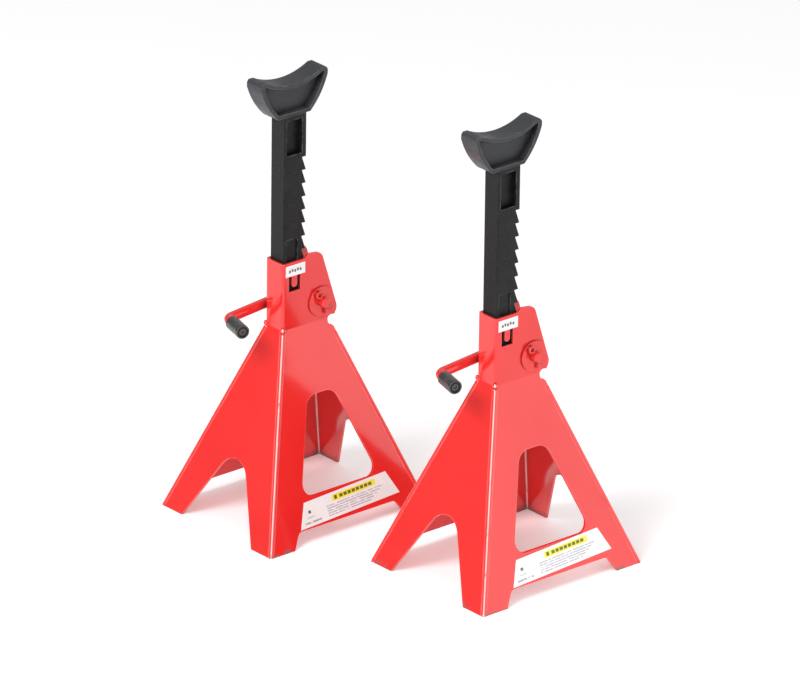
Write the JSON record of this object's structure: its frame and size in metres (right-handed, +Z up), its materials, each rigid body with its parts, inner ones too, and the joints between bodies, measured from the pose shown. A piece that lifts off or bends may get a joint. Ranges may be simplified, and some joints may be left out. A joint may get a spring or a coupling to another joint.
{
  "type": "ratchet axle jack stand pair",
  "caption": "Pair of ratchet jack stands: flared sheet-steel base, toothed cast bar with a curved saddle, and a pivoting pawl lever that holds the bar at stepped heights.",
  "frame": {"origin": "on the floor, at the middle of the pair's overall footprint", "axes": "+Z up, along each bar; the levers' pivots lie along Y; the teeth face +X; the windows with labels face -Y"},
  "size_m": [0.255, 0.3684, 0.424],
  "materials": {
    "red_paint": "gloss red enamel on pressed sheet steel",
    "black_casting": "satin black paint on a sand-cast iron bar, worn at its edges",
    "pawl_casting": "dark cast steel with a worn nose",
    "bare_steel": "dull plated steel pins",
    "grip_rubber": "dark grey moulded sleeve",
    "label_film": "white adhesive film with plain printed bars"
  },
  "bodies": {
    "stand_1_frame": {"stand_1_base_shell": "red_paint", "stand_1_right_panel": "red_paint", "stand_1_front_left_seam": "red_paint", "stand_1_rear_left_seam": "red_paint", "stand_1_front_right_seam": "red_paint", "stand_1_rear_right_seam": "red_paint", "stand_1_bar_guide_plate": "red_paint", "stand_1_neck_label": "label_film", "stand_1_panel_label": "label_film"},
    "stand_1_bar": {"stand_1_ratchet_bar": "black_casting", "stand_1_bar_stop_pin": "bare_steel"},
    "stand_1_lever": {"stand_1_pawl": "pawl_casting", "stand_1_pawl_pin": "bare_steel", "stand_1_handle_rod": "red_paint", "stand_1_handle_grip": "grip_rubber", "stand_1_front_washer": "red_paint", "stand_1_rear_washer": "red_paint", "stand_1_cotter_pin": "red_paint"},
    "stand_2_frame": {"stand_2_base_shell": "red_paint", "stand_2_right_panel": "red_paint", "stand_2_front_left_seam": "red_paint", "stand_2_rear_left_seam": "red_paint", "stand_2_front_right_seam": "red_paint", "stand_2_rear_right_seam": "red_paint", "stand_2_bar_guide_plate": "red_paint", "stand_2_neck_label": "label_film", "stand_2_panel_label": "label_film"},
    "stand_2_bar": {"stand_2_ratchet_bar": "black_casting", "stand_2_bar_stop_pin": "bare_steel"},
    "stand_2_lever": {"stand_2_pawl": "pawl_casting", "stand_2_pawl_pin": "bare_steel", "stand_2_handle_rod": "red_paint", "stand_2_handle_grip": "grip_rubber", "stand_2_front_washer": "red_paint", "stand_2_rear_washer": "red_paint", "stand_2_cotter_pin": "red_paint"}
  },
  "joints": [
    {"name": "stand_1_bar_slide", "type": "slide", "parent": "stand_1_frame", "child": "stand_1_bar", "axis": [0, 0, 1], "range_m": [-0.1143, 0]},
    {"name": "stand_1_lever_pivot", "type": "hinge", "parent": "stand_1_frame", "child": "stand_1_lever", "pos_m": [-0.0165, 0.10625, 0.2005], "axis": [0, 1, 0], "range_deg": [-6, 30]},
    {"name": "stand_2_bar_slide", "type": "slide", "parent": "stand_2_frame", "child": "stand_2_bar", "axis": [0, 0, 1], "range_m": [-0.1143, 0]},
    {"name": "stand_2_lever_pivot", "type": "hinge", "parent": "stand_2_frame", "child": "stand_2_lever", "pos_m": [0.0505, -0.10625, 0.2005], "axis": [0, 1, 0], "range_deg": [-6, 30]},
    {"name": "stand_spacing", "type": "slide", "parent": "stand_1_frame", "child": "stand_2_frame", "axis": [0, -1, 0], "range_m": [-0.045, 0.4]}
  ]
}
